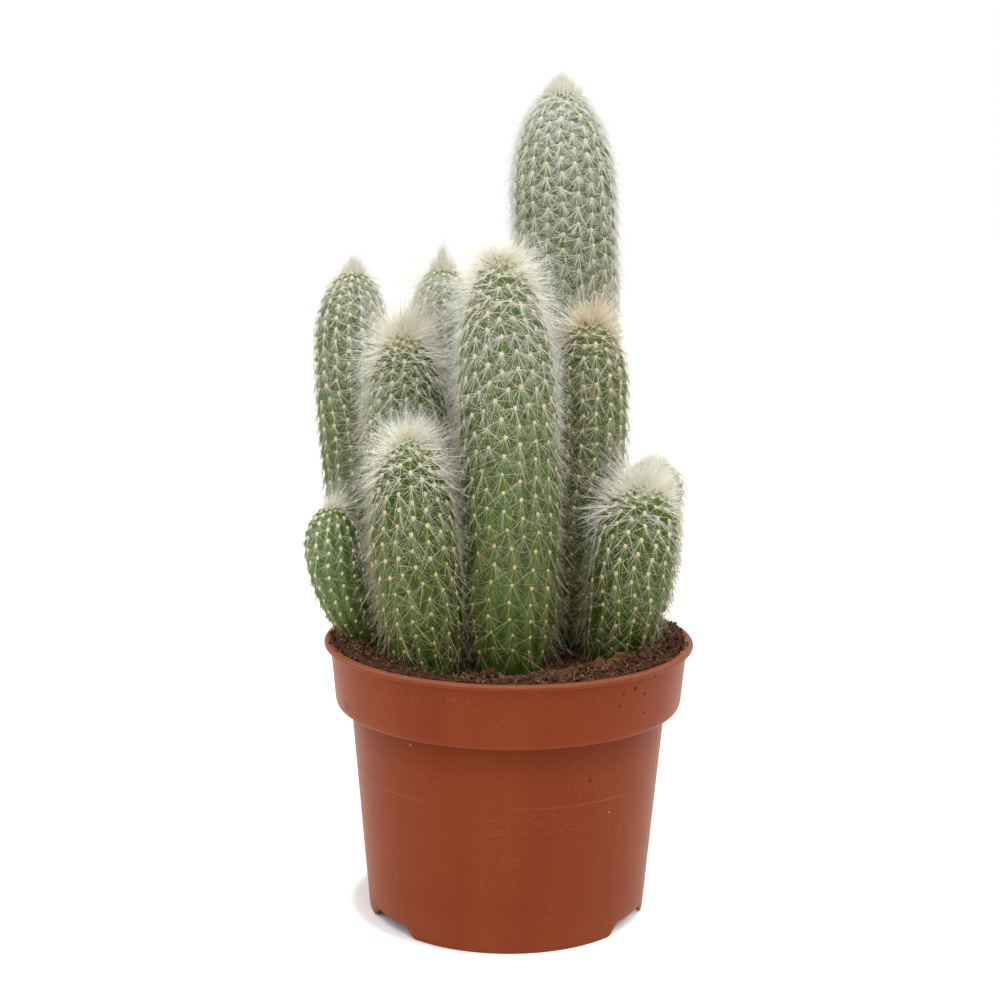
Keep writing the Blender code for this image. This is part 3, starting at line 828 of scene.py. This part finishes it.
def pot_material():
    """Injection-moulded polypropylene: terracotta pigment in faint flow marks down the wall, with a
    painted highlight on the lip, a painted shadow under the band, fine scuffs, dust and specks of
    peat."""
    material, shader, add = new_material("moulded terracotta polypropylene")
    place = add("ShaderNodeTexCoord", out="Object")
    height = add("ShaderNodeSeparateXYZ", [place], "Z")
    flow = add("ShaderNodeMapping", {"Vector": place, "Scale": (1, 1, 0.08)})
    scrape = add("ShaderNodeMapping", {"Vector": place, "Scale": (1, 1, 9)})
    streaks, cloud, scratches, dust, grain = [
        add("ShaderNodeTexNoise", {
            "Vector": space, "Scale": repeats / MM, "Detail": detail, "Roughness": rough,
        })
        for space, repeats, detail, rough in (
            (flow, 0.07, 3.0, 0.5), (place, 0.045, 4.0, 0.5), (scrape, 0.19, 4.0, 0.7),
            (place, 1.1, 2.0, 0.5), (place, 0.9, 2.0, 0.5),
        )
    ]
    line = band_mask(add, height, 48.6 * MM, 0.3 * MM)
    colour = add("ShaderNodeValToRGB", [streaks], stops=((0.3, "#6E2D19"), (0.7, "#76331C")))
    # Painted shadow under the band
    painted_band_shadow = (height, 57 * MM, 69 * MM), (height, 69.6 * MM, 69.4 * MM)
    colour = lay_over(add, colour, "#54200C", 0.55, *painted_band_shadow)
    # Painted highlight along the top of the lip, where the top light catches it
    lip = (height, POT_HEIGHT - 0.8 * MM, POT_HEIGHT - 0.1 * MM)
    colour = lay_over(add, colour, "#D8A080", 0.12, lip)
    # Paler towards the foot
    colour = lay_over(add, colour, "#A05A38", 0.1, (height, 14 * MM, 2 * MM))
    # One faint ring all round, short horizontal scuffs at the front and clouds of dust
    scuffed = band_mask(add, height, 44 * MM, 8 * MM)
    front = near_mask(add, place, (6, -48, 44), 26)
    colour = lay_over(add, colour, "#B98464", 0.16, line, (cloud, 0.42, 0.62))
    colour = lay_over(add, colour, "#B07C5E", 0.3, (scratches, 0.6, 0.72), scuffed, front)
    colour = lay_over(add, colour, "#C08A6C", 0.07, (dust, 0.56, 0.7), (cloud, 0.4, 0.7))
    for cells, radius, rare, share, shade in SPECKLES:
        colour = lay_over(add, colour, shade, share, speck_mask(add, place, cells, radius, rare))
    for speck in SPECKS:
        colour = lay_over(add, colour, "#240A05", 1.0, near_mask(add, place, *speck))
    colour = lay_over(add, colour, "#8A2A1C", 0.7, near_mask(add, place, *RED_MARK))
    bump = add("ShaderNodeBump", {"Height": grain, "Strength": 0.12, "Distance": 0.1 * MM})
    bump = add("ShaderNodeBump", {
        "Height": line, "Strength": 0.4, "Distance": 0.1 * MM, "Normal": bump,
    })
    fill(shader, {
        "Base Color": colour, "Normal": bump,
        "Roughness": add("ShaderNodeMapRange", {"Value": streaks, "To Min": 0.36, "To Max": 0.46}),
        "Specular IOR Level": 0.08, "Specular Tint": linear("#FFD0A8"),
        "Sheen Weight": 0.18, "Sheen Roughness": 0.5, "Sheen Tint": linear("#FFA05C"),
    })
    return material


def band_radius(z):
    share = (z - BAND_BOTTOM) / (POT_HEIGHT - BAND_BOTTOM)
    return BAND_LOW_RADIUS + (BAND_TOP_RADIUS - BAND_LOW_RADIUS) * share


def body_radius(z):
    return FOOT_RADIUS + (BODY_TOP_RADIUS - FOOT_RADIUS) * z / BAND_BOTTOM


def arc(centre, radius, start, end, steps):
    """Points on an arc in the profile's plane, in degrees from +X."""
    angles = np.radians(np.linspace(start, end, steps))
    return [(centre[0] + radius * math.cos(a), centre[1] + radius * math.sin(a)) for a in angles]


def pot_profile():
    """Wall from the middle of the floor, up the inside, over the lip and down to the foot."""
    corner = body_radius(FLOOR) - WALL - 1.5 * MM
    under = POT_HEIGHT - LIP_THICKNESS
    step = BAND_BOTTOM + 2 * WALL
    inside = [(0, FLOOR + WALL), (corner - 0.5 * MM, FLOOR + WALL)]
    inside += arc((corner, FLOOR + WALL + 1.5 * MM), 1.5 * MM, -80, -5, 4)
    inside += [(body_radius(z) - WALL, z) for z in np.linspace(14 * MM, BAND_BOTTOM - 2 * MM, 8)]
    inside += [(band_radius(z) - WALL, z) for z in np.linspace(step, POT_HEIGHT - 1.2 * MM, 6)]
    lip = arc((band_radius(POT_HEIGHT) - WALL + 0.7 * MM, POT_HEIGHT - 0.7 * MM), 0.7 * MM, 170, 95, 4)
    lip += arc((LIP_RADIUS - 0.75 * MM, POT_HEIGHT - 0.75 * MM), 0.75 * MM, 85, 0, 5)
    lip += arc((LIP_RADIUS - 0.6 * MM, under + 0.6 * MM), 0.6 * MM, 0, -90, 5)
    lip += arc((band_radius(under) + 0.5 * MM, under - 0.5 * MM), 0.5 * MM, 90, 180, 4)
    outer = [(band_radius(z), z) for z in np.linspace(86 * MM, BAND_BOTTOM + 2.2 * MM, 8)]
    outer += arc((BAND_LOW_RADIUS - 1.6 * MM, BAND_BOTTOM + 1.6 * MM), 1.6 * MM, -5, -85, 6)
    outer += arc((BODY_TOP_RADIUS + 0.6 * MM, BAND_BOTTOM - 0.6 * MM), 0.6 * MM, 95, 175, 4)
    outer += [(body_radius(z), z) for z in np.linspace(66 * MM, 8 * MM, 16)]
    foot = [(body_radius(z), z) for z in (6 * MM, 4.5 * MM, 3 * MM, 1.5 * MM)]
    foot += arc((FOOT_RADIUS - 0.4 * MM, 0.4 * MM), 0.4 * MM, 0, -90, 4)
    foot += arc((FOOT_RADIUS - WALL + 0.3 * MM, 0.3 * MM), 0.3 * MM, -90, -180, 3)
    foot += [(body_radius(z) - WALL, z) for z in (2 * MM, 4 * MM)]
    return np.array(inside + lip + outer + foot + [(FOOT_RADIUS - WALL, FLOOR), (0, FLOOR)])


def notch_lift(degrees):
    """How far the foot is raised at an angle from the front: three smooth-sided notches."""
    lift = 0
    for middle in NOTCH_ANGLES:
        away = abs((degrees - middle + 180) % 360 - 180)
        share = (NOTCH_HALF + NOTCH_SLOPE / 2 - away) / NOTCH_SLOPE
        lift = max(lift, NOTCH_HEIGHT * float(smooth_step(share)))
    return lift


def make_pot():
    """Turned wall whose foot is lifted in three notches, with finer turns at their sides."""
    profile = pot_profile()
    count = len(profile)
    ends = [middle + side * NOTCH_HALF for middle in NOTCH_ANGLES for side in (-1, 1)]
    fine = [end + step for end in ends for step in np.arange(-4, 4.1, FINE_TURN_STEP)]
    turns = np.sort(np.r_[np.arange(0, 360, TURN_STEP), np.array(fine) % 360])
    turns = turns[np.r_[True, np.diff(turns) > 0.3]]
    rings = []
    for degrees in turns:
        angle = math.radians(degrees)
        radius, z = profile.T
        lifted = np.where(z < FLOOR, z + notch_lift(degrees) * (1 - z / FLOOR), z)
        x = AXIS.x + radius * math.sin(angle)
        y = AXIS.y - radius * math.cos(angle)
        rings.append(np.c_[x, y, lifted])
    faces = []
    for i in range(len(turns)):
        a = i * count
        b = (i + 1) % len(turns) * count
        faces += [(a + k, b + k, b + k + 1, a + k + 1) for k in range(count - 1)]
    mesh = new_mesh("pot_shell", np.vstack(rings), faces)
    bm = bmesh.new()
    bm.from_mesh(mesh)
    bmesh.ops.remove_doubles(bm, verts=bm.verts, dist=0.01 * MM)
    bmesh.ops.recalc_face_normals(bm, faces=bm.faces)
    bm.to_mesh(mesh)
    bm.free()
    mesh.shade_smooth()
    mesh.materials.append(pot_material())
    finish_piece(mesh_object("pot_shell", mesh), "pot")


# Peat

PEAT_TOP = 86.3 * MM
PEAT_EDGE = band_radius(PEAT_TOP) - WALL - 0.4 * MM
PEAT_SUNK = 1.6 * MM
PEAT_BANK = 3.2 * MM
PEAT_FRONT_BANK = 1.2 * MM
PEAT_SIDE_BANK = 3 * MM
PEAT_BANK_START = 38 * MM
PEAT_BANK_WIDTH = 15 * MM
PEAT_RINGS = 64
PEAT_COLUMNS = 210
# Radius and height of the bed's sides, down to the pot's floor
PEAT_SIDES = ((PEAT_EDGE - 1.2 * MM, 72 * MM), (49.4 * MM, 68 * MM), (44.4 * MM, 8 * MM))

# Heaps by the wall: angle from the front, radius, spread and height (mm). Crumbs and clods lie only
# in the first of them, at the front, and those past the side angle spill grains over the lip.
HEAPS = [
    (-7, 45, 4, 2.8), (12, 46, 4.5, 2.6), (30, 45, 6, 3.2), (45, 43, 6, 4.2), (62, 47, 6, 3.2),
    (-64, 50, 5, 2), (82, 55, 4, 1), (100, 55, 4, 1), (-77, 57, 3, 1), (-88, 56, 3, 1), (-97, 57, 3, 1),
]
COARSE_HEAPS = 5
SIDE_ANGLE = 60

# Name, how many, smallest and largest (millimetres), subdivisions, seed, share that lies in heaps
# and share of the rest that lies by the wall
CRUMBS = [
    ("peat_grains", 3400, 0.4, 1.4, 1, 3, 0.22, 0.4),
    ("peat_crumbs", 320, 1.3, 3, 2, 4, 0.22, 0),
    ("peat_clods", 40, 2.4, 5, 3, 6, 0.65, 0),
]
FIBRES = 1000
FIBRE_POINTS = 5


def peat_material():
    """Damp peat: dark brown crumb of about 2 mm with rusty fibre; single crumbs run from black to
    straw."""
    material, shader, add = new_material("damp fibrous peat")
    tone = add("ShaderNodeAttribute", out="Fac", attribute_name="tone")
    place = add("ShaderNodeTexCoord", out="Object")
    crumb = add("ShaderNodeTexNoise", {
        "Vector": place, "Scale": 0.52 / MM, "Detail": 5.0, "Roughness": 0.7, "Distortion": 2.5,
    })
    uneven = add("ShaderNodeMath", [crumb, 1.1, -0.55], operation="MULTIPLY_ADD")
    shade = add("ShaderNodeMath", [uneven, tone], operation="ADD")
    colour = add("ShaderNodeValToRGB", [shade], stops=(
        (0.0, "#120A06"), (0.3, "#3A2215"), (0.5, "#5C3A24"), (0.75, "#7E5C3C"), (1.0, "#AA926C"),
    ))
    bump = add("ShaderNodeBump", {"Height": crumb, "Strength": 1.0, "Distance": 0.6 * MM})
    fill(shader, {"Base Color": colour, "Roughness": 0.85, "Specular IOR Level": 0.2, "Normal": bump})
    return material


def straw_material():
    """Straw and root fibre: dry and slightly shiny, stained every 3 mm or so along its length."""
    material, shader, add = new_material("dry root fibre")
    place = add("ShaderNodeTexCoord", out="Object")
    stain = add("ShaderNodeTexNoise", {"Vector": place, "Scale": 0.3 / MM, "Detail": 2.0})
    stops = (0.3, "#4A2E1A"), (0.52, "#7C5634"), (0.75, "#B49A6C")
    colour = add("ShaderNodeValToRGB", [stain], stops=stops)
    fill(shader, {"Base Color": colour, "Roughness": 0.6, "Specular IOR Level": 0.3})
    return material


def heap_spot(degrees, radius):
    """Place from the pot's axis at an angle from the front."""
    angle = math.radians(degrees)
    return radius * MM * math.sin(angle), -radius * MM * math.cos(angle)


def peat_height(x, y):
    """Lumpy top of the peat at a point given from the pot's axis: sunk a little among the stems
    and banked up against the wall, most of all at the front and the sides."""
    coarse = noise.fractal(Vector((x, y, 8 * MM)) / (9 * MM), 1, 2, 3)
    fine = noise.fractal(Vector((x, y, 20 * MM)) / (2.2 * MM), 0.8, 2.1, 4)
    bank = float(smooth_step((math.hypot(x, y) - PEAT_BANK_START) / PEAT_BANK_WIDTH))
    front = 0.5 - 0.5 * y / LIP_RADIUS
    side = abs(x) / LIP_RADIUS
    level = PEAT_TOP - PEAT_SUNK + bank * (PEAT_BANK + PEAT_FRONT_BANK * front + PEAT_SIDE_BANK * side)
    for degrees, radius, spread, rise in HEAPS:
        heap_x, heap_y = heap_spot(degrees, radius)
        away = math.hypot(x - heap_x, y - heap_y)
        level += rise * MM * math.exp(-((away / (spread * MM)) ** 2)) * (1 - 0.8 * bank)
    return level + 1.2 * MM * coarse + 0.8 * MM * fine


def make_peat():
    """Bed of peat with a lumpy top, strewn with grains, crumbs and clods."""
    peat = peat_material()
    angle = math.tau * np.arange(PEAT_COLUMNS) / PEAT_COLUMNS
    radii = PEAT_EDGE * (np.arange(1, PEAT_RINGS + 1) / PEAT_RINGS) ** 0.8
    x = radii[:, None] * np.cos(angle)
    y = radii[:, None] * np.sin(angle)
    z = np.array([peat_height(*point) for point in zip(x.ravel(), y.ravel())])
    layers = [np.c_[(AXIS.x + x).ravel(), (AXIS.y + y).ravel(), z]]
    for radius, height in PEAT_SIDES:
        level = np.full(PEAT_COLUMNS, height)
        layers.append(np.c_[AXIS.x + radius * np.cos(angle), AXIS.y + radius * np.sin(angle), level])
    count = PEAT_RINGS + len(PEAT_SIDES)
    first = np.arange(PEAT_COLUMNS)
    faces = ring_faces(count, PEAT_COLUMNS)
    faces.append(first.tolist())
    faces.append(((count - 1) * PEAT_COLUMNS + first[::-1]).tolist())
    mesh = new_mesh("peat_bed", np.vstack(layers), faces)
    set_attribute(mesh, "tone", np.full(len(mesh.vertices), 0.38))
    mesh.shade_smooth()
    mesh.materials.append(peat)
    finish_piece(mesh_object("peat_bed", mesh), "soil")

    crumbs = crumb_tree()
    for name, count, low, high, rounds, seed, heaped_share, wall_share in CRUMBS:
        places = crumb_points(name, count, low, high, seed, heaped_share, wall_share)
        made = grow(crumbs, name, places, {
            "Rounds": rounds, "Rough": (0.8 + 0.5 * low) * MM, "Seed": seed, "Material": peat,
        })
        finish_piece(made, "soil")


def crumb_points(name, count, low, high, seed, heaped_share, wall_share):
    """Crumbs strewn over the peat, some of them in heaps and the grains also along the wall. Only
    grains lie on the lip."""
    rng = np.random.default_rng(seed)
    grains = wall_share > 0
    inner_edge = PEAT_EDGE - 0.3 * MM
    places, tones = [], []
    while len(places) < count:
        heaped = rng.random() < heaped_share
        by_wall = not heaped and grains and rng.random() < wall_share
        spill = by_wall
        if heaped:
            degrees, radius, spread, _ = HEAPS[rng.integers(len(HEAPS) if grains else COARSE_HEAPS)]
            x, y = np.array(heap_spot(degrees, radius)) + rng.normal(0, spread * MM, 2)
            spill = grains and abs(degrees) > SIDE_ANGLE
        elif by_wall:
            angle = rng.uniform(0, math.tau)
            radius = rng.uniform(48 * MM, LIP_RADIUS - 2.3 * MM)
            x, y = radius * math.cos(angle), radius * math.sin(angle)
        else:
            x, y = rng.uniform(-PEAT_EDGE, PEAT_EDGE, 2)
        edge = inner_edge if grains else PEAT_EDGE - low * MM
        if math.hypot(x, y) > (LIP_RADIUS - 1.4 * MM if spill else edge) or under_stem(x, y):
            continue
        rise = rng.uniform(0, 1.8 * MM) if heaped else rng.uniform(-0.3 * MM, 0.6 * MM)
        level = peat_height(x, y) + rise
        if math.hypot(x, y) > inner_edge:
            level = POT_HEIGHT + rng.uniform(0, 0.3 * MM)
        places.append((AXIS.x + x, AXIS.y + y, level))
        tones.append(rng.uniform(0.3, 0.68) if heaped or by_wall else rng.uniform(0.1, 0.5))
    size = rng.uniform(low, high, count)[:, None] * MM * rng.uniform(0.4, 1.4, (count, 3))
    return point_mesh(name, np.array(places), size=size, tone=tones)


def under_stem(x, y):
    """Whether a point given from the pot's axis lies inside a stem's neck."""
    for stem in STEMS:
        if math.hypot(x - stem.foot[0] * MM, y - stem.foot[1] * MM) < (stem.neck + 0.5) * MM:
            return True
    return False


def strand(bm, points, thickness):
    """Thin closed three-sided tube through the points."""
    rings = []
    for i, point in enumerate(points):
        before, after = points[max(i - 1, 0)], points[min(i + 1, len(points) - 1)]
        turn = (after - before).to_track_quat("Z", "Y")
        width = thickness * (1 - 0.6 * i / (len(points) - 1))
        rings.append([bm.verts.new(point + turn @ Vector((width * math.cos(a), width * math.sin(a), 0)))
                      for a in (0, math.tau / 3, 2 * math.tau / 3)])
    for low, high in zip(rings, rings[1:]):
        for k in range(3):
            bm.faces.new((low[k], low[k - 2], high[k - 2], high[k]))
    bm.faces.new(rings[0][::-1])
    bm.faces.new(rings[-1])


def make_fibres():
    """Root fibres and straws lying in the peat, and one that hangs over the lip."""
    rng = np.random.default_rng(12)
    bm = bmesh.new()
    made = 0
    while made < FIBRES:
        if rng.random() < 0.4:
            degrees, radius, spread, _ = HEAPS[rng.integers(len(HEAPS))]
            angle = math.radians(degrees)
            x, y = rng.normal(0, spread, 2) + (radius * math.sin(angle), -radius * math.cos(angle))
            spot = Vector((x, y)) * MM
            lift = rng.uniform(0.5, 2) * MM
        else:
            angle = rng.uniform(0, math.tau)
            radius = PEAT_EDGE * math.sqrt(rng.uniform(0.1, 0.97))
            spot = Vector((radius * math.cos(angle), radius * math.sin(angle)))
            lift = 0.3 * MM
        heading = rng.uniform(0, math.tau)
        bend = rng.normal(0, 0.8)
        step = rng.uniform(0.25, 1) * MM
        points = []
        for i in range(FIBRE_POINTS):
            arch = 0.8 * MM * math.sin(math.pi * i / (FIBRE_POINTS - 1)) * rng.uniform(0.2, 1.5)
            z = peat_height(spot.x, spot.y) + lift + arch
            points.append(Vector((AXIS.x + spot.x, AXIS.y + spot.y, z)))
            heading += bend
            spot = spot + Vector((math.cos(heading), math.sin(heading))) * step
        if spot.length > PEAT_EDGE - 0.6 * MM or under_stem(spot.x, spot.y):
            continue
        strand(bm, points, rng.uniform(0.06, 0.14) * MM)
        made += 1
    start = Vector((AXIS.x + 54 * MM, AXIS.y - 22 * MM, POT_HEIGHT + 1.5 * MM))
    end = start + Vector((5 * MM, -3.5 * MM, -3 * MM))
    middle = (start + end) / 2 + Vector((0, 0, 0.8 * MM))
    strand(bm, [start, middle, end], 0.14 * MM)
    mesh = bpy.data.meshes.new("peat_fibres")
    bmesh.ops.recalc_face_normals(bm, faces=bm.faces)
    bm.to_mesh(mesh)
    bm.free()
    mesh.materials.append(straw_material())
    finish_piece(mesh_object("peat_fibres", mesh), "soil")


# Studio


def make_floor():
    """White sweep: matt by the pot, where it takes a soft shadow, more evenly lit further off and
    dark under the pot."""
    mesh = bpy.data.meshes.new("floor")
    bm = bmesh.new()
    bmesh.ops.create_grid(bm, x_segments=1, y_segments=1, size=3.0)
    bm.to_mesh(mesh)
    bm.free()
    material, shader, add = new_material("matt white paper sweep")
    place = add("ShaderNodeTexCoord", out="Object")
    grain = add("ShaderNodeTexNoise", {"Vector": place, "Scale": 0.04 / MM})
    distance = add("ShaderNodeVectorMath", [place], "Value", operation="LENGTH")
    glow = add("ShaderNodeMapRange", [distance, 0.1, 0.5, 0.3, 0.4])
    outside_foot = add("ShaderNodeMapRange", [distance, 0.045, 0.048])
    fill(shader, {
        "Base Color": add("ShaderNodeValToRGB", [grain], stops=((0.3, "#F2F2F2"), (0.7, "#F4F4F4"))),
        "Emission Strength": add("ShaderNodeMath", [glow, outside_foot], operation="MULTIPLY"),
        "Emission Color": (1, 1, 1, 1), "Roughness": 1.0, "Specular IOR Level": 0.0,
    })
    mesh.materials.append(material)
    mesh_object("floor", mesh)


def make_light(name, place, aim, size, power):
    light = bpy.data.lights.new(name, "AREA")
    light.shape = "RECTANGLE"
    light.size, light.size_y = size
    light.energy = power
    made = bpy.data.objects.new(name, light)
    made.location = place
    made.rotation_euler = (Vector(aim) - Vector(place)).to_track_quat("-Z", "Y").to_euler()
    bpy.context.scene.collection.objects.link(made)


def make_studio():
    scene = bpy.context.scene
    scene.world = bpy.data.worlds.new("white studio")
    scene.world.use_nodes = True
    fill(scene.world.node_tree.nodes["Background"], {"Color": (1, 1, 1, 1), "Strength": 1.0})
    scene.view_settings.view_transform = "Standard"
    middle = (AXIS.x, AXIS.y, 0.14)
    make_light("top softbox", (0.1, -0.35, 1.1), middle, (1.0, 0.8), 7.5)
    make_light("left softbox", (-1.0, -0.7, 0.6), middle, (0.7, 0.9), 2)


def make_camera():
    camera = bpy.data.cameras.new("camera")
    camera.sensor_fit = "HORIZONTAL"
    camera.sensor_width = 36
    camera.lens = LENS
    made = bpy.data.objects.new("camera", camera)
    made.location = (AXIS.x, AXIS.y - CAMERA_DISTANCE, CAMERA_HEIGHT)
    turn = Matrix.Rotation(CAMERA_YAW, 3, "Z") @ Matrix.Rotation(math.pi / 2 - CAMERA_PITCH, 3, "X")
    made.rotation_euler = (turn @ Matrix.Rotation(CAMERA_ROLL, 3, "Z")).to_euler()
    bpy.context.scene.collection.objects.link(made)
    bpy.context.scene.camera = made


make_camera()
make_studio()
make_floor()
make_pot()
make_peat()
make_fibres()
make_stems()

bpy.context.view_layer.update()
